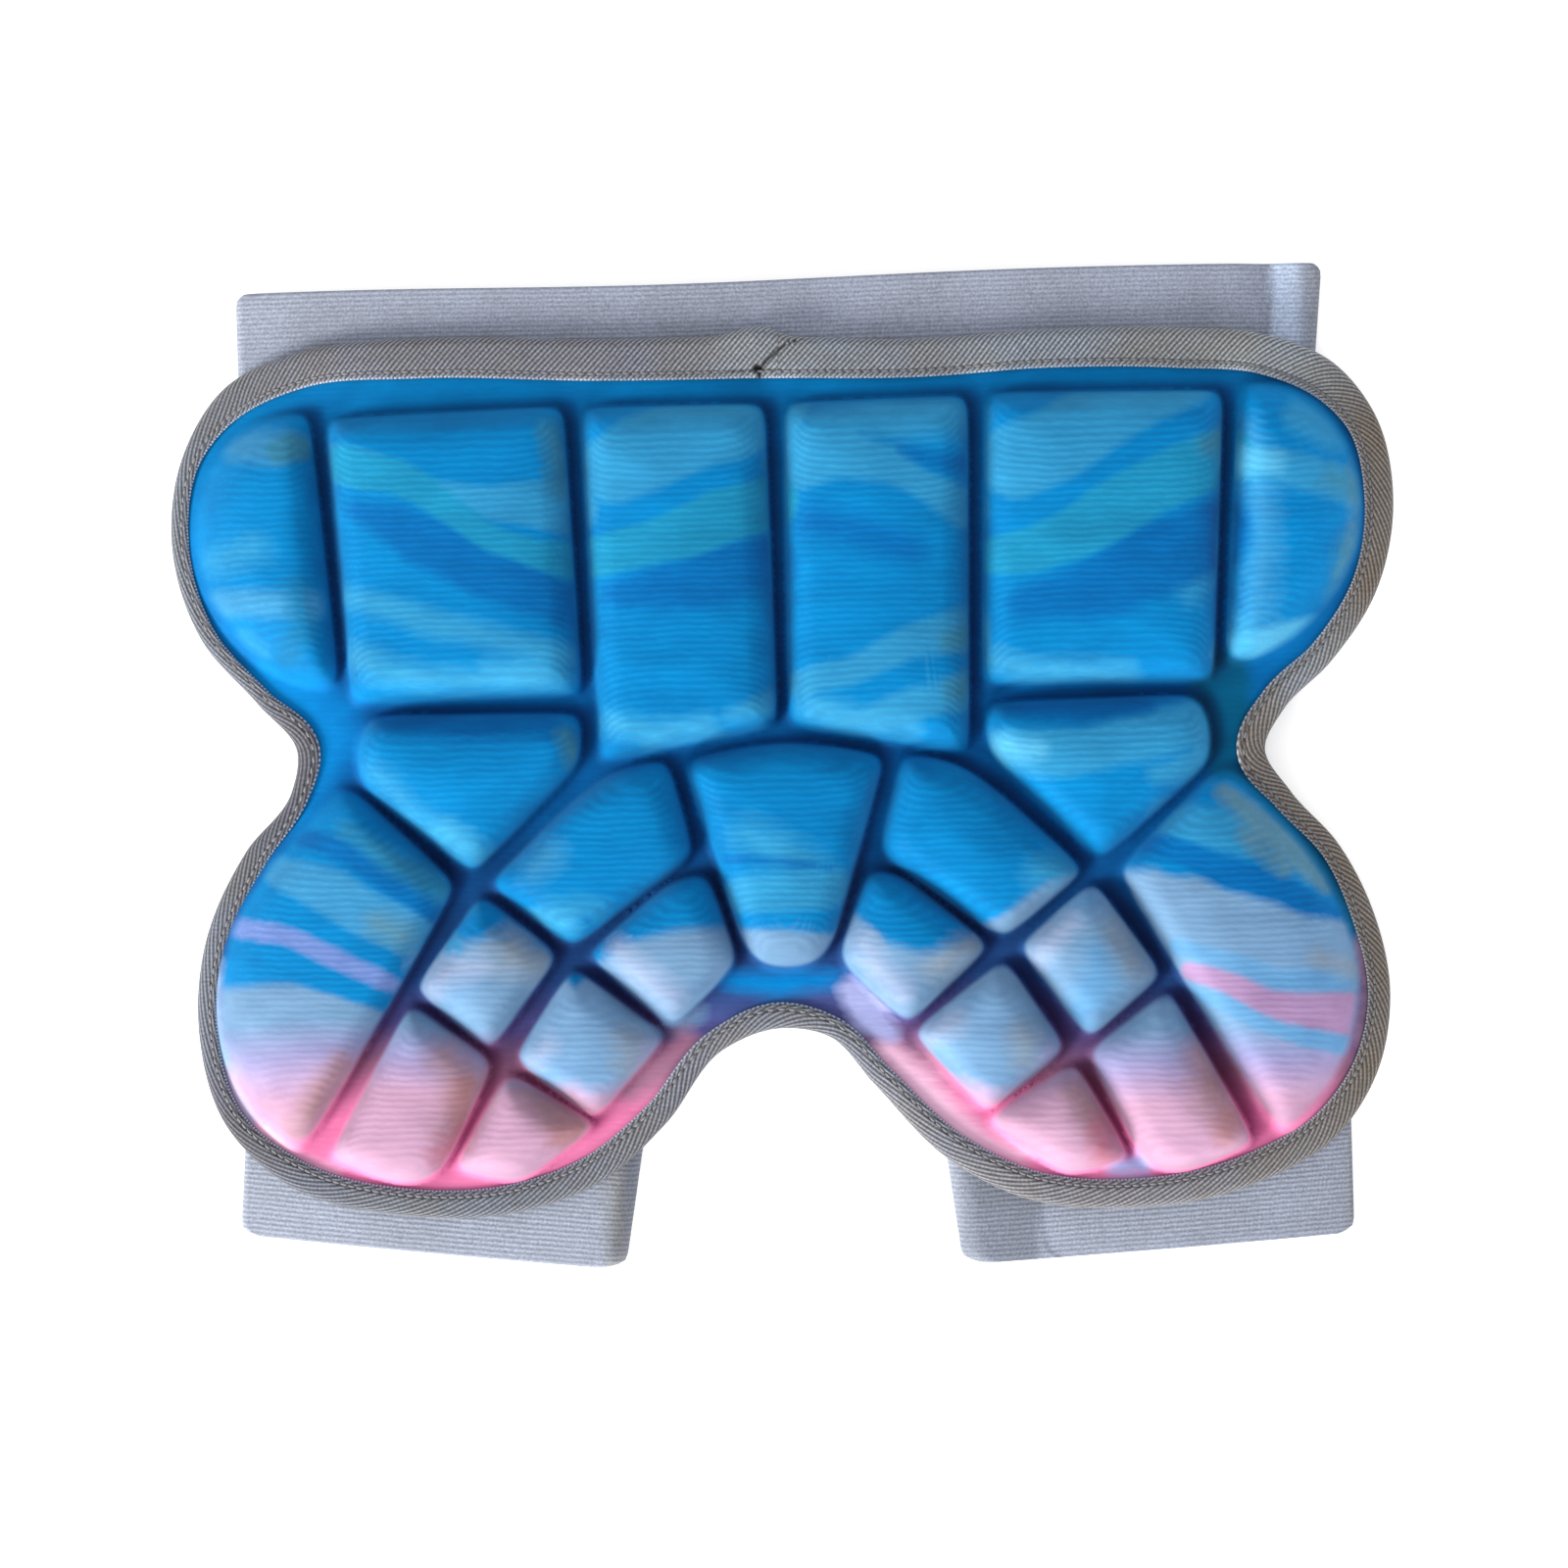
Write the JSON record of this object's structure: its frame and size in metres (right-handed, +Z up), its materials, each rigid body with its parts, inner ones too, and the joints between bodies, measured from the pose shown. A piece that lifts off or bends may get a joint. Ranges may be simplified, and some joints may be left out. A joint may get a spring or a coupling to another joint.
{
  "type": "tailbone protector",
  "caption": "Child's padded hip and tailbone protector: a butterfly-shaped moulded foam pad with raised cells, a bound edge, a wide elastic waist loop and two leg loops.",
  "frame": {"origin": "on the table under the middle of the part's box, as it lies face up", "axes": "+X across the pad towards its right side as seen from above, +Y towards the waist, +Z up out of the face with the cells"},
  "size_m": [0.3476, 0.2852, 0.0318],
  "materials": {
    "fabric_laminate": "matt printed knit bonded to moulded foam",
    "binding_tape": "matt twill tape",
    "woven_elastic": "matt ribbed elastic"
  },
  "bodies": {
    "root": {"moulded_pad": "fabric_laminate", "edge_binding": "binding_tape", "waistband": "woven_elastic", "leg_band_left": "woven_elastic", "leg_band_right": "woven_elastic"}
  },
  "joints": []
}
